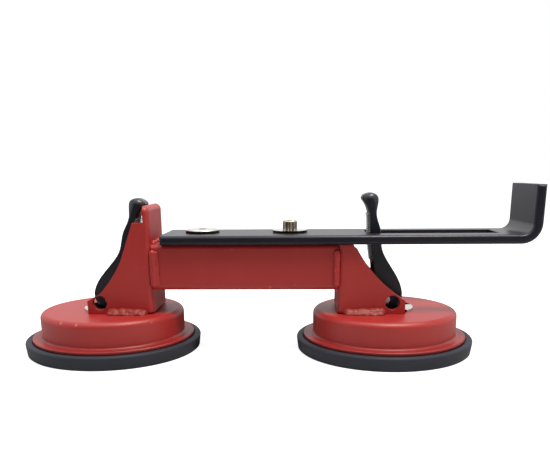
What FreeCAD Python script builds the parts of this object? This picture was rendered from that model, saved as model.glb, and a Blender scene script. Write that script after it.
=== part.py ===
"""Floor tile suction lifter: two lever cups, a crossbar and a slotted pull bar. Millimetres.

X runs along the crossbar towards the bar's turned-up end, Y across it, and Z up. The origin is on the
floor, under the middle of the whole tool. Each cup's own pieces are drawn about that cup's axis, with
+X pointing away from the crossbar, and are then turned and set in place.
"""
import FreeCAD
import Part
import Sketcher

import math
import os

Vector = FreeCAD.Vector
Z_AXIS = Vector(0, 0, 1)
Y_AXIS = Vector(0, 1, 0)

# Driving dimensions, in millimetres and degrees.
DIMENSIONS = {
    # rubber pad
    "pad_radius": 60.0,
    "pad_foot_radius": 59.1,
    "pad_height": 9.25,
    "pad_edge_drop": 0.7,
    "pad_dish": 2.5,
    "pad_lip_width": 8.0,
    "pad_ramp": 6.0,
    # pressed cup shell
    "cup_spacing": 188.5,
    "shell_radius": 48.8,
    "shell_height": 18.85,
    "shell_sheet": 1.8,
    "shell_round": 3.5,
    "flange_width": 6.4,
    "flange_root": 1.5,
    # wear washer, stud, backing plate and pin
    "washer_radius": 19.5,
    "washer_sheet": 1.5,
    "plate_radius": 32.0,
    "plate_sheet": 2.0,
    "stud_across": 10.0,
    "stud_thickness": 6.0,
    "tenon_radius": 4.0,
    "pin_radius": 3.0,
    "pin_overhang": 0.3,
    # clearances
    "body_gap": 0.3,
    "running_gap": 0.05,
    "bolt_gap": 0.2,
    # cam lever
    "cam_base": 5.1,
    "cam_lift": 6.6,
    "cam_travel": 100.0,
    "lever_width": 16.0,
    "lever_reach": 70.7,
    "hub_back": 9.5,
    "fork_gap": 0.4,
    "left_lean": 9.0,
    # bent brackets
    "bracket_sheet": 4.0,
    "bracket_width": 42.4,
    "bend_round": 3.5,
    "bend_inside": 1.0,
    "web_offset": 33.2,
    "web_lift": 1.0,
    "web_lift_width": 5.7,
    "foot_reach": 11.0,
    "foot_height": 8.9,
    "hole_radius": 4.8,
    "hole_offset": 2.7,
    "hole_height": 7.6,
    "right_shoulder": 21.1,
    "right_crown": 24.8,
    "right_shoulder_drop": 2.6,
    "right_top_gap": 0.4,
    "right_hollow": 92.0,
    "left_step_offset": 2.8,
    "left_step_height": 13.3,
    "left_waist_offset": 13.1,
    "left_waist_height": 35.5,
    "left_hollow": 85.0,
    "left_crown": 22.2,
    "left_crown_height": 60.0,
    "left_tab_height": 70.6,
    "tab_round": 4.0,
    # crossbar
    "tube_lift": 15.9,
    "tube_width": 40.0,
    "tube_height": 30.0,
    "tube_wall": 2.0,
    "tube_round": 3.0,
    # pull bar
    "bar_width": 50.0,
    "bar_thickness": 6.0,
    "bar_setback": 6.8,
    "bar_reach": 94.2,
    "bar_rise": 36.7,
    "bar_bend": 6.5,
    "bar_round": 2.0,
    "slot_start": 14.2,
    "slot_end_gap": 0.3,
    "slot_side_gap": 4.0,
    # fasteners on the crossbar
    "screw_offset": 29.5,
    "screw_tip": 1.5,
    "cap_head_radius": 5.0,
    "cap_head_height": 6.2,
    "cap_shank_radius": 3.0,
    "cap_socket": 2.5,
    "cap_socket_depth": 3.0,
    "cap_nut_flats": 10.0,
    "cap_nut_height": 5.0,
    "penny_radius": 11.6,
    "penny_sheet": 1.6,
    "low_head_radius": 11.4,
    "low_head_height": 2.4,
    "low_shank_radius": 4.0,
    "low_socket": 2.5,
    "low_socket_depth": 1.4,
    "low_nut_flats": 13.0,
    "low_nut_height": 6.5,
    # welds
    "foot_weld_radius": 5.5,
    "foot_weld_start": 2.0,
    "foot_weld_length": 23.0,
    "side_weld_radius": 3.2,
    "side_weld_margin": 2.0,
    "top_weld_radius": 2.6,
    "top_weld_length": 26.0,
}

doc = FreeCAD.newDocument("suction_lifter")
sheet = doc.addObject("Spreadsheet::Sheet", "Dimensions")
for row, (alias, amount) in enumerate(DIMENSIONS.items(), start=1):
    sheet.set(f"A{row}", alias)
    sheet.set(f"B{row}", str(amount))
    sheet.setAlias(f"B{row}", alias)
doc.recompute()


class Size:
    """A number together with the sheet formula that gives it."""

    def __init__(self, value, formula):
        self.value = value
        self.formula = formula

    def joined(self, sign, other, value):
        return Size(value, f"({self.formula} {sign} {size_of(other).formula})")

    def __add__(self, other):
        return self.joined("+", other, self.value + size_of(other).value)

    def __sub__(self, other):
        return self.joined("-", other, self.value - size_of(other).value)

    def __mul__(self, other):
        return self.joined("*", other, self.value * size_of(other).value)

    def __truediv__(self, other):
        return self.joined("/", other, self.value / size_of(other).value)

    def __neg__(self):
        return Size(-self.value, f"(0 - {self.formula})")


def size_of(amount):
    """Gives a plain number the same form as a size from the sheet."""
    return amount if isinstance(amount, Size) else Size(float(amount), repr(float(amount)))


def dim(alias):
    """A driving dimension, by its name in the sheet."""
    return Size(DIMENSIONS[alias], f"Dimensions.{alias}")


# Heights and places that several pieces share.
SHELL_TOP = dim("pad_height") + dim("shell_height")
FLANGE_RADIUS = dim("shell_radius") + dim("flange_width")
WASHER_TOP = SHELL_TOP + dim("washer_sheet")
PIN_HEIGHT = WASHER_TOP + dim("body_gap") + dim("cam_base")
PLATE_BOTTOM = dim("pad_height") + dim("body_gap")
PLATE_TOP = PLATE_BOTTOM + dim("plate_sheet")
TUBE_BOTTOM = SHELL_TOP + dim("tube_lift")
TUBE_TOP = TUBE_BOTTOM + dim("tube_height")
BAR_TOP = TUBE_TOP + dim("bar_thickness")
TOTAL_LENGTH = dim("pad_radius") + dim("cup_spacing") + dim("bar_reach")
LEFT_CUP = dim("pad_radius") - TOTAL_LENGTH / 2
RIGHT_CUP = LEFT_CUP + dim("cup_spacing")
MIDDLE = (LEFT_CUP + RIGHT_CUP) / 2
TUBE_LENGTH = dim("cup_spacing") - dim("web_offset") * 2
WEB_OUTER = dim("web_offset") - dim("bracket_sheet")
CAP_SCREW_X = MIDDLE + dim("screw_offset")
LOW_SCREW_X = MIDDLE - dim("screw_offset")

sub_parts = []


def bind(item, name, amount):
    """Ties one property of an object to the sheet."""
    item.setExpression(name, size_of(amount).formula)


def new_body(label, x=0.0, z=0.0, turn=0.0, lean=0.0):
    """A body placed at x and z, leaning about Y and then turned about Z, both in degrees."""
    body = doc.addObject("PartDesign::Body", label)
    body.Label = label
    turned = FreeCAD.Rotation(Z_AXIS, turn).multiply(FreeCAD.Rotation(Y_AXIS, lean))
    body.Placement = FreeCAD.Placement(Vector(0, 0, 0), turned)
    bind(body, "Placement.Base.x", x)
    bind(body, "Placement.Base.z", z)
    sub_parts.append(body)
    return body


def origin_item(body, role):
    """One of the body's own origin planes or axes."""
    return next(item for item in body.Origin.OriginFeatures if item.Role == role)


def new_sketch(body, name, plane, offset=None):
    """An empty sketch on an origin plane, raised along its normal by the offset."""
    sketch = body.newObject("Sketcher::SketchObject", name)
    sketch.AttachmentSupport = [(origin_item(body, plane), "")]
    sketch.MapMode = "FlatFace"
    if offset is not None:
        bind(sketch, "AttachmentOffset.Base.z", offset)
    return sketch


def constrain(sketch, *terms):
    """Adds a constraint whose last term is its size, tied to the sheet."""
    amount = size_of(terms[-1])
    index = sketch.addConstraint(Sketcher.Constraint(*terms[:-1], amount.value))
    sketch.setExpression(f"Constraints[{index}]", amount.formula)


def arc_between(start, end, radius, side):
    """An arc of the given radius. side is 1 where its centre lies left of the way from start to end."""
    across = end - start
    rise = math.sqrt(max(radius * radius - across.Length ** 2 / 4, 0.0))
    left = Vector(-across.y, across.x, 0).normalize()
    centre = (start + end) / 2 + left * rise * side
    first, last = (start, end) if side > 0 else (end, start)
    turn = [math.atan2(point.y - centre.y, point.x - centre.x) for point in (first, last)]
    return Part.ArcOfCircle(Part.Circle(centre, Z_AXIS, radius), turn[0], turn[1])


def draw_outline(sketch, corners, arcs=None):
    """Draws a closed outline. arcs gives the radius and side of the arc that leaves a corner."""
    arcs = arcs or {}
    corners = [(size_of(across), size_of(up)) for across, up in corners]
    points = [Vector(across.value, up.value, 0) for across, up in corners]
    ends = []
    for index, start in enumerate(points):
        end = points[(index + 1) % len(points)]
        if index in arcs:
            radius, side = arcs[index]
            edge = sketch.addGeometry(arc_between(start, end, size_of(radius).value, side))
            constrain(sketch, "Radius", edge, radius)
            ends.append((edge, 1, 2) if side > 0 else (edge, 2, 1))
        else:
            ends.append((sketch.addGeometry(Part.LineSegment(start, end)), 1, 2))
    for index, (edge, first, _) in enumerate(ends):
        before, _, last = ends[index - 1]
        sketch.addConstraint(Sketcher.Constraint("Coincident", before, last, edge, first))
        constrain(sketch, "DistanceX", -1, 1, edge, first, corners[index][0])
        constrain(sketch, "DistanceY", -1, 1, edge, first, corners[index][1])


def draw_circle(sketch, across, up, radius):
    """Draws a circle whose centre and radius are tied to the sheet."""
    across, up, radius = size_of(across), size_of(up), size_of(radius)
    centre = Vector(across.value, up.value, 0)
    circle = sketch.addGeometry(Part.Circle(centre, Z_AXIS, radius.value))
    constrain(sketch, "DistanceX", -1, 1, circle, 3, across)
    constrain(sketch, "DistanceY", -1, 1, circle, 3, up)
    constrain(sketch, "Radius", circle, radius)


def draw_rectangle(sketch, left, right, bottom, top):
    draw_outline(sketch, [(left, bottom), (right, bottom), (right, top), (left, top)])


def draw_hexagon(sketch, half_flats):
    """Draws a hexagon about the sketch's origin, half_flats from the middle to each flat."""
    corner = size_of(half_flats) * (2 / math.sqrt(3))
    turns = [math.radians(60 * step) for step in range(6)]
    draw_outline(sketch, [(corner * math.cos(turn), corner * math.sin(turn)) for turn in turns])


def pad(body, sketch, length, symmetric=False, reverse=False):
    feature = body.newObject("PartDesign::Pad", f"{sketch.Name}_pad")
    feature.Profile = sketch
    feature.SideType = "Symmetric" if symmetric else "One side"
    feature.Reversed = reverse
    bind(feature, "Length", length)
    doc.recompute()
    return feature


def pocket(body, sketch, length=None, reverse=False):
    """Cuts a sketch out, by a length to one side, or right through both ways without one."""
    before = body.Shape.Volume
    feature = body.newObject("PartDesign::Pocket", f"{sketch.Name}_pocket")
    feature.Profile = sketch
    feature.Reversed = reverse
    if length is None:
        feature.SideType = "Symmetric"
        feature.Type = "ThroughAll"
    else:
        bind(feature, "Length", length)
    doc.recompute()
    if not body.Shape.Volume < before:
        raise RuntimeError(f"{feature.Name} cuts nothing")
    return feature


def revolve(body, sketch):
    feature = body.newObject("PartDesign::Revolution", f"{sketch.Name}_turned")
    feature.Profile = sketch
    feature.ReferenceAxis = (sketch, ["V_Axis"])
    feature.Angle = 360.0
    doc.recompute()
    return feature


def edges_of(feature, chosen):
    """Names of the edges for which chosen(edge) holds."""
    return [f"Edge{index}" for index, edge in enumerate(feature.Shape.Edges, start=1) if chosen(edge)]


def round_edges(body, name, chosen, radius, kind="Fillet"):
    """Rounds or chamfers the edges of the body's last feature for which chosen(edge) holds."""
    base = body.Tip
    names = edges_of(base, chosen)
    if not names:
        raise RuntimeError(f"{name} finds no edges")
    feature = body.newObject(f"PartDesign::{kind}", name)
    feature.Base = (base, names)
    bind(feature, "Radius" if kind == "Fillet" else "Size", radius)
    doc.recompute()
    return feature


def near(one, other):
    return abs(one - size_of(other).value) < 1e-4


def is_circle_at(edge, radius, height):
    """True for a whole circle about Z with this radius at this height."""
    curve = edge.Curve
    return isinstance(curve, Part.Circle) and near(curve.Radius, radius) and near(curve.Center.z, height)


def runs_along(edge, axis):
    """True for a straight edge along the named axis."""
    if not isinstance(edge.Curve, Part.Line):
        return False
    first, last = edge.Vertexes[0].Point, edge.Vertexes[-1].Point
    return all(near(getattr(first, name), getattr(last, name)) for name in "xyz" if name != axis)


# ---- rubber suction pad: a disc with a sealing lip around a shallow dish ----------------------------
def make_pad(label, x):
    body = new_body(label, x=x)
    profile = new_sketch(body, f"{label}_profile", "XZ_Plane")
    lip_inner = dim("pad_foot_radius") - dim("pad_lip_width")
    draw_outline(profile, [
        (0, dim("pad_dish")),
        (lip_inner - dim("pad_ramp"), dim("pad_dish")),
        (lip_inner, 0),
        (dim("pad_foot_radius"), 0),
        (dim("pad_radius"), dim("pad_height") - dim("pad_edge_drop") * 2),
        (dim("pad_radius") - dim("pad_edge_drop"), dim("pad_height") - dim("pad_edge_drop")),
        (FLANGE_RADIUS - dim("pad_edge_drop"), dim("pad_height")),
        (0, dim("pad_height")),
    ])
    revolve(body, profile)


# ---- cup shell: a pressed steel cup, open below, with a flat flange on the rubber --------------------
def make_shell(label, x):
    body = new_body(label, x=x)
    profile = new_sketch(body, f"{label}_profile", "XZ_Plane")
    inner_radius = dim("shell_radius") - dim("shell_sheet")
    flange_top = dim("pad_height") + dim("shell_sheet")
    draw_outline(profile, [
        (0, SHELL_TOP - dim("shell_sheet")),
        (inner_radius, SHELL_TOP - dim("shell_sheet")),
        (inner_radius, dim("pad_height")),
        (FLANGE_RADIUS, dim("pad_height")),
        (FLANGE_RADIUS, flange_top),
        (dim("shell_radius"), flange_top),
        (dim("shell_radius"), SHELL_TOP),
        (0, SHELL_TOP),
    ])
    revolve(body, profile)
    inner_round = dim("shell_round") - dim("shell_sheet")
    round_edges(body, f"{label}_brow", lambda edge: is_circle_at(edge, dim("shell_radius"), SHELL_TOP),
                dim("shell_round"))
    inner_top = SHELL_TOP - dim("shell_sheet")
    round_edges(body, f"{label}_inside", lambda edge: is_circle_at(edge, inner_radius, inner_top),
                inner_round)
    round_edges(body, f"{label}_root", lambda edge: is_circle_at(edge, dim("shell_radius"), flange_top),
                dim("flange_root"))
    round_edges(body, f"{label}_rim", lambda edge: is_circle_at(edge, FLANGE_RADIUS, flange_top),
                dim("shell_sheet") / 3)
    hole = new_sketch(body, f"{label}_guide", "XY_Plane", SHELL_TOP)
    draw_guide_hole(hole)
    pocket(body, hole, dim("shell_sheet") * 2)


def draw_guide_hole(sketch):
    """The square hole that keeps the stud from turning."""
    half_x = dim("stud_across") / 2 + dim("body_gap")
    half_y = dim("stud_thickness") / 2 + dim("body_gap")
    draw_rectangle(sketch, -half_x, half_x, -half_y, half_y)


def make_wear_washer(label, x):
    """A round plate with two flats, which sits on the shell between the bracket's cheeks."""
    body = new_body(label, x=x, z=SHELL_TOP)
    ring = new_sketch(body, f"{label}_ring", "XY_Plane")
    draw_circle(ring, 0, 0, dim("washer_radius"))
    pad(body, ring, dim("washer_sheet"))
    half_flats = dim("bracket_width") / 2 - dim("bracket_sheet") - dim("body_gap")
    past = dim("washer_radius") + dim("bracket_sheet")
    for side, name in ((-1, "near"), (1, "far")):
        flat = new_sketch(body, f"{label}_{name}_flat", "XY_Plane", dim("washer_sheet"))
        inner, outer = half_flats * side, past * side
        draw_rectangle(flat, -past, past, *((inner, outer) if side > 0 else (outer, inner)))
        pocket(body, flat, dim("washer_sheet") * 2)
    hole = new_sketch(body, f"{label}_guide", "XY_Plane", dim("washer_sheet"))
    draw_guide_hole(hole)
    pocket(body, hole, dim("washer_sheet") * 2)
    round_edges(body, f"{label}_edge",
                lambda edge: is_circle_at(edge, dim("washer_radius"), dim("washer_sheet")),
                dim("washer_sheet") / 4)


# ---- backing plate, lift stud and pin: what the lever draws up --------------------------------------
def make_backing_plate(label, x):
    body = new_body(label, x=x, z=PLATE_BOTTOM)
    disc = new_sketch(body, f"{label}_disc", "XY_Plane")
    draw_circle(disc, 0, 0, dim("plate_radius"))
    draw_circle(disc, 0, 0, dim("tenon_radius") + dim("running_gap"))
    pad(body, disc, dim("plate_sheet"))


def make_lift_stud(label, x):
    """A flat stud with a round eye for the pin, and a round tenon riveted in the backing plate."""
    body = new_body(label, x=x)
    half = dim("stud_across") / 2
    flat = new_sketch(body, f"{label}_flat", "XZ_Plane")
    draw_rectangle(flat, -half, half, PLATE_TOP, PIN_HEIGHT)
    pad(body, flat, dim("stud_thickness"), symmetric=True)
    eye = new_sketch(body, f"{label}_eye", "XZ_Plane")
    draw_circle(eye, 0, PIN_HEIGHT, half)
    pad(body, eye, dim("stud_thickness"), symmetric=True)
    bore = new_sketch(body, f"{label}_bore", "XZ_Plane")
    draw_circle(bore, 0, PIN_HEIGHT, dim("pin_radius") + dim("running_gap"))
    pocket(body, bore)
    tenon = new_sketch(body, f"{label}_tenon", "XY_Plane", PLATE_BOTTOM)
    draw_circle(tenon, 0, 0, dim("tenon_radius"))
    pad(body, tenon, dim("plate_sheet"))


def make_pivot_pin(label, x):
    body = new_body(label, x=x, z=PIN_HEIGHT)
    end = new_sketch(body, f"{label}_end", "XZ_Plane")
    draw_circle(end, 0, 0, dim("pin_radius"))
    pad(body, end, dim("lever_width") + dim("pin_overhang") * 2, symmetric=True)
    round_edges(body, f"{label}_chamfer", lambda edge: isinstance(edge.Curve, Part.Circle),
                dim("pin_radius") / 8, "Chamfer")


# ---- cam lever ----------------------------------------------------------------------------------------
# Its side view, drawn upright about the pin: across, positive away from the crossbar, and up as a share of
# the lever's reach. The back is the outer edge from cam to head, and the face is the inner edge downwards.
LEVER_BACK = [(7.0, 0.226), (0.1, 0.38), (-3.5, 0.49), (-5.0, 0.675), (-7.7, 0.812), (-6.7, 0.895)]
LEVER_CROWN = [(-6.2, 0.955), (-10.2, 1.0), (-15.4, 0.988)]
LEVER_LIP = [(-18.0, 0.962), (-16.6, 0.925)]
LEVER_FACE = [(-13.3, 0.83), (-12.3, 0.68), (-11.2, 0.48), (-9.8, 0.34)]


def cam_point(turn):
    """The cam's outline where it bears once the lever has turned by this many degrees.

    The distance from the pin to the washer grows evenly with the turn, so the stud rises evenly too.
    """
    angle = math.radians(turn)
    growth = dim("cam_lift").value / math.radians(dim("cam_travel").value)
    distance = dim("cam_base").value + growth * angle
    towards = Vector(math.sin(angle), -math.cos(angle), 0)
    along = Vector(math.cos(angle), math.sin(angle), 0)
    return towards * distance + along * growth


def curve_through(points):
    curve = Part.BSplineCurve()
    curve.interpolate(points)
    return curve


def make_cam_lever(label, x, turn, lean):
    """A lever forked at the hub. Its cam bears on the wear washer and its head has a finger lip."""
    body = new_body(label, x=x, z=PIN_HEIGHT, turn=turn, lean=lean)
    reach = dim("lever_reach").value
    base = dim("cam_base").value
    hub_back = dim("hub_back").value
    slack = math.radians(dim("left_lean").value + 1.0)

    def placed(shares):
        return [Vector(across, share * reach, 0) for across, share in shares]

    rest = Vector(-base * math.sin(slack), -base * math.cos(slack), 0)
    bottom = Vector(0, -base, 0)
    middle = Vector(-base * math.sin(slack / 2), -base * math.cos(slack / 2), 0)
    cam = [cam_point(dim("cam_travel").value * step / 8) for step in range(9)]
    back = placed(LEVER_BACK + LEVER_CROWN[:1])
    crown = placed(LEVER_CROWN)
    lip = placed(LEVER_CROWN[-1:] + LEVER_LIP)
    face = placed(LEVER_LIP[-1:] + LEVER_FACE)
    heel = Vector(-hub_back, 0, 0)
    knee = Vector(-hub_back, face[-1].y - hub_back, 0)
    side = new_sketch(body, f"{label}_side", "XZ_Plane")
    for edge in (
        Part.Arc(rest, middle, bottom),
        Part.LineSegment(bottom, cam[0]),
        curve_through(cam),
        curve_through([cam[-1]] + back),
        Part.Arc(*crown),
        Part.Arc(*lip),
        curve_through(face + [knee]),
        Part.LineSegment(knee, heel),
        Part.LineSegment(heel, rest),
    ):
        side.addGeometry(edge)
    pad(body, side, dim("lever_width"), symmetric=True)
    bore = new_sketch(body, f"{label}_bore", "XZ_Plane")
    draw_circle(bore, 0, 0, dim("pin_radius") + dim("running_gap"))
    pocket(body, bore)
    cut_fork(body, label)


def cut_fork(body, label):
    """Opens the hub for the stud over the lever's whole swing, from its lean to its full travel."""
    clear = (dim("stud_across") / 2 + dim("fork_gap")).value
    ends = (-dim("left_lean").value - 1.0, dim("cam_travel").value + 1.0)
    past = dim("cam_base").value + dim("cam_lift").value + dim("stud_across").value
    turns = [math.radians(end) for end in ends]
    outwards = [Vector(math.sin(turn), -math.cos(turn), 0) for turn in turns]
    inner = Vector(outwards[0].y, -outwards[0].x, 0) * clear
    upper = Vector(-outwards[1].y, outwards[1].x, 0) * clear
    far = [inner + outwards[0] * past, Vector(past * 2, -past, 0), upper + outwards[1] * past]
    apex = (inner + upper).normalize() * clear
    slot = new_sketch(body, f"{label}_fork", "XZ_Plane")
    for edge in (
        Part.Arc(upper, apex, inner),
        Part.LineSegment(inner, far[0]),
        Part.LineSegment(far[0], far[1]),
        Part.LineSegment(far[1], far[2]),
        Part.LineSegment(far[2], upper),
    ):
        slot.addGeometry(edge)
    feature = body.newObject("PartDesign::Pocket", f"{label}_fork_pocket")
    feature.Profile = slot
    feature.SideType = "Symmetric"
    bind(feature, "Length", dim("stud_thickness") + dim("fork_gap") * 2)
    doc.recompute()


# ---- brackets: a web and two cheeks bent from one sheet ----------------------------------------------
def make_bracket(label, x, turn, corners, arcs, tab_top=None):
    """Cuts the side view out of a block, then opens the channel between the cheeks."""
    body = new_body(label, x=x, turn=turn)
    side = new_sketch(body, f"{label}_side", "XZ_Plane")
    foot = [
        (-dim("web_offset"), SHELL_TOP + dim("web_lift")),
        (dim("web_lift_width") - dim("web_offset"), SHELL_TOP + dim("web_lift")),
        (dim("web_lift_width") - dim("web_offset"), SHELL_TOP),
        (dim("foot_reach"), SHELL_TOP),
        (dim("foot_reach"), SHELL_TOP + dim("foot_height")),
    ]
    draw_outline(side, foot + corners, arcs)
    draw_circle(side, dim("hole_offset"), SHELL_TOP + dim("hole_height"), dim("hole_radius"))
    pad(body, side, dim("bracket_width"), symmetric=True)
    channel = new_sketch(body, f"{label}_channel", "XY_Plane")
    half_inside = dim("bracket_width") / 2 - dim("bracket_sheet")
    past_foot = dim("foot_reach") + dim("bracket_sheet")
    draw_rectangle(channel, -WEB_OUTER, past_foot, -half_inside, half_inside)
    pocket(body, channel)
    if tab_top is not None:
        half = dim("bracket_width") / 2
        round_edges(body, f"{label}_tab",
                    lambda edge: runs_along(edge, "x") and near(edge.Vertexes[0].Point.z, tab_top)
                    and near(abs(edge.Vertexes[0].Point.y), half),
                    dim("tab_round"))
    round_edges(body, f"{label}_bends",
                lambda edge: runs_along(edge, "z") and near(edge.Vertexes[0].Point.x, -dim("web_offset")),
                dim("bend_round"))
    round_edges(body, f"{label}_bend_insides",
                lambda edge: runs_along(edge, "z") and near(edge.Vertexes[0].Point.x, -WEB_OUTER)
                and near(abs(edge.Vertexes[0].Point.y), half_inside),
                dim("bend_inside"))


def make_right_bracket():
    """Its cheeks hollow down from the crossbar's top to the foot."""
    top = TUBE_TOP - dim("right_top_gap")
    corners = [
        (-dim("right_shoulder"), top - dim("right_shoulder_drop")),
        (-dim("right_crown"), top),
        (-dim("web_offset"), top),
    ]
    make_bracket("bracket_right", RIGHT_CUP, 0, corners, {4: (dim("right_hollow"), -1)})


def make_left_bracket():
    """Taller, and its web stands above the cheeks as a tab."""
    crown = SHELL_TOP + dim("left_crown_height")
    tab_top = SHELL_TOP + dim("left_tab_height")
    corners = [
        (dim("left_step_offset"), SHELL_TOP + dim("left_step_height")),
        (-dim("left_waist_offset"), SHELL_TOP + dim("left_waist_height")),
        (-dim("left_crown"), crown),
        (-WEB_OUTER, crown),
        (-WEB_OUTER, tab_top),
        (-dim("web_offset"), tab_top),
    ]
    make_bracket("bracket_left", LEFT_CUP, 180, corners, {5: (dim("left_hollow"), -1)}, tab_top)


# ---- crossbar: a rectangular tube between the two webs ------------------------------------------------
def make_crossbar():
    body = new_body("crossbar_tube", x=MIDDLE)
    half = dim("tube_width") / 2
    outside = new_sketch(body, "tube_outside", "YZ_Plane")
    draw_rectangle(outside, -half, half, TUBE_BOTTOM, TUBE_TOP)
    pad(body, outside, TUBE_LENGTH, symmetric=True)
    round_edges(body, "tube_corners", lambda edge: runs_along(edge, "x"), dim("tube_round"))
    inside = new_sketch(body, "tube_inside", "YZ_Plane")
    draw_rectangle(inside, dim("tube_wall") - half, half - dim("tube_wall"),
                   TUBE_BOTTOM + dim("tube_wall"), TUBE_TOP - dim("tube_wall"))
    pocket(body, inside)
    holes = new_sketch(body, "tube_holes", "XY_Plane", TUBE_TOP)
    draw_circle(holes, dim("screw_offset"), 0, dim("cap_shank_radius") + dim("bolt_gap"))
    draw_circle(holes, -dim("screw_offset"), 0, dim("low_shank_radius") + dim("bolt_gap"))
    pocket(body, holes, dim("tube_wall") * 2)


# ---- pull bar: flat bar with a slot for the right lever and a turned-up end ---------------------------
def make_pull_bar():
    body = new_body("pull_bar")
    left = LEFT_CUP + dim("web_offset") + dim("bar_setback")
    right = RIGHT_CUP + dim("bar_reach")
    bend_outer = dim("bar_bend") + dim("bar_thickness")
    bend_start = right - bend_outer
    inner_face = right - dim("bar_thickness")
    top = TUBE_TOP + dim("bar_rise")
    side = new_sketch(body, "bar_side", "XZ_Plane")
    draw_outline(side, [
        (left, TUBE_TOP),
        (bend_start, TUBE_TOP),
        (right, TUBE_TOP + bend_outer),
        (right, top),
        (inner_face, top),
        (inner_face, TUBE_TOP + bend_outer),
        (bend_start, BAR_TOP),
        (left, BAR_TOP),
    ], arcs={1: (bend_outer, 1), 5: (dim("bar_bend"), -1)})
    pad(body, side, dim("bar_width"), symmetric=True)
    cuts = new_sketch(body, "bar_cuts", "XY_Plane", BAR_TOP)
    half_slot = dim("lever_width") / 2 + dim("slot_side_gap")
    slot_left = RIGHT_CUP - dim("slot_start")
    slot_right = RIGHT_CUP + dim("lever_reach") + dim("slot_end_gap")
    draw_rectangle(cuts, slot_left, slot_right, -half_slot, half_slot)
    draw_circle(cuts, CAP_SCREW_X, 0, dim("cap_shank_radius") + dim("bolt_gap"))
    draw_circle(cuts, LOW_SCREW_X, 0, dim("low_shank_radius") + dim("bolt_gap"))
    pocket(body, cuts, dim("bar_thickness") * 2)
    half = dim("bar_width") / 2
    round_edges(body, "bar_edges",
                lambda edge: all(near(abs(vertex.Point.y), half) for vertex in edge.Vertexes)
                and not runs_along(edge, "y"),
                dim("bar_round"))


# ---- fasteners ------------------------------------------------------------------------------------------
def make_screw(label, x, seat, head_radius, head_height, shank_radius, tip, socket, socket_depth, dome):
    """A screw with a hexagon socket. seat is the height under its head and dome the crown's edge round."""
    body = new_body(label, x=x)
    profile = new_sketch(body, f"{label}_profile", "XZ_Plane")
    head_top = seat + head_height
    draw_outline(profile, [(0, tip), (shank_radius, tip), (shank_radius, seat), (head_radius, seat),
                           (head_radius, head_top), (0, head_top)])
    revolve(body, profile)
    round_edges(body, f"{label}_crown", lambda edge: is_circle_at(edge, head_radius, head_top), dome)
    drive = new_sketch(body, f"{label}_drive", "XY_Plane", head_top)
    draw_hexagon(drive, socket)
    pocket(body, drive, socket_depth)


def make_ring(label, x, z, inner_radius, outer_radius, thickness):
    body = new_body(label, x=x, z=z)
    ring = new_sketch(body, f"{label}_ring", "XY_Plane")
    draw_circle(ring, 0, 0, outer_radius)
    draw_circle(ring, 0, 0, inner_radius)
    pad(body, ring, thickness)


def make_nut(label, x, flats, thickness, bore):
    """A hexagon nut held against the underside of the crossbar's top wall."""
    top = TUBE_TOP - dim("tube_wall")
    body = new_body(label, x=x, z=top - thickness)
    outline = new_sketch(body, f"{label}_outline", "XY_Plane")
    draw_hexagon(outline, flats / 2)
    draw_circle(outline, 0, 0, bore)
    pad(body, outline, thickness)


def make_fasteners():
    wall_bottom = TUBE_TOP - dim("tube_wall")
    penny_top = BAR_TOP + dim("penny_sheet")
    cap_tip = wall_bottom - dim("cap_nut_height") - dim("screw_tip")
    low_tip = wall_bottom - dim("low_nut_height") - dim("screw_tip")
    cap_bore = dim("cap_shank_radius") + dim("running_gap")
    low_bore = dim("low_shank_radius") + dim("running_gap")
    make_screw("cap_screw", CAP_SCREW_X, penny_top, dim("cap_head_radius"), dim("cap_head_height"),
               dim("cap_shank_radius"), cap_tip, dim("cap_socket"), dim("cap_socket_depth"),
               dim("cap_head_radius") / 10)
    make_screw("low_head_screw", LOW_SCREW_X, BAR_TOP, dim("low_head_radius"), dim("low_head_height"),
               dim("low_shank_radius"), low_tip, dim("low_socket"), dim("low_socket_depth"),
               dim("low_head_height") * 0.6)
    make_ring("penny_washer", CAP_SCREW_X, BAR_TOP, dim("cap_shank_radius") + dim("bolt_gap"),
              dim("penny_radius"), dim("penny_sheet"))
    make_nut("cap_screw_nut", CAP_SCREW_X, dim("cap_nut_flats"), dim("cap_nut_height"), cap_bore)
    make_nut("low_head_nut", LOW_SCREW_X, dim("low_nut_flats"), dim("low_nut_height"), low_bore)


# ---- welds ------------------------------------------------------------------------------------------------
def primitive(kind, name, place, rotation=None, **sizes):
    """A Part primitive with its sizes and its place tied to the sheet."""
    item = doc.addObject(f"Part::{kind}", name)
    if rotation is not None:
        item.Placement.Rotation = rotation
    for axis, amount in zip("xyz", place):
        bind(item, f"Placement.Base.{axis}", amount)
    for size_name, amount in sizes.items():
        bind(item, size_name, amount)
    return item


def turned(axis, degrees):
    return FreeCAD.Rotation(Vector(*axis), degrees)


def joined(name, pieces):
    item = doc.addObject("Part::MultiFuse", name)
    item.Shapes = pieces
    return item


def add_sub_part(item, label):
    item.Label = label
    sub_parts.append(item)


def make_foot_welds(label, cup_x, outward):
    """A quarter round bead, with round ends, in the corner between each cheek's foot and the shell."""
    radius = dim("foot_weld_radius")
    start = cup_x - dim("foot_weld_start") * outward
    end = start - dim("foot_weld_length") * outward
    left = start if start.value < end.value else end
    beads = []
    for side in (-1, 1):
        face = dim("bracket_width") / 2 * side
        name = f"{label}_{'near' if side < 0 else 'far'}"
        lie_down = turned((1, 0, 0), 90 if side > 0 else 180).multiply(turned((0, 1, 0), 90))
        beads.append(primitive("Cylinder", f"{name}_run", (left, face, SHELL_TOP), lie_down,
                               Radius=radius, Height=dim("foot_weld_length"), Angle=90))
        for place in (start, end):
            beads.append(primitive("Sphere", f"{name}_end", (place, face, SHELL_TOP),
                                   turned((0, 0, 1), 0 if side > 0 else 180),
                                   Radius=radius, Angle1=0, Angle2=90, Angle3=180))
    add_sub_part(joined(f"{label}_beads", beads), label)


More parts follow.
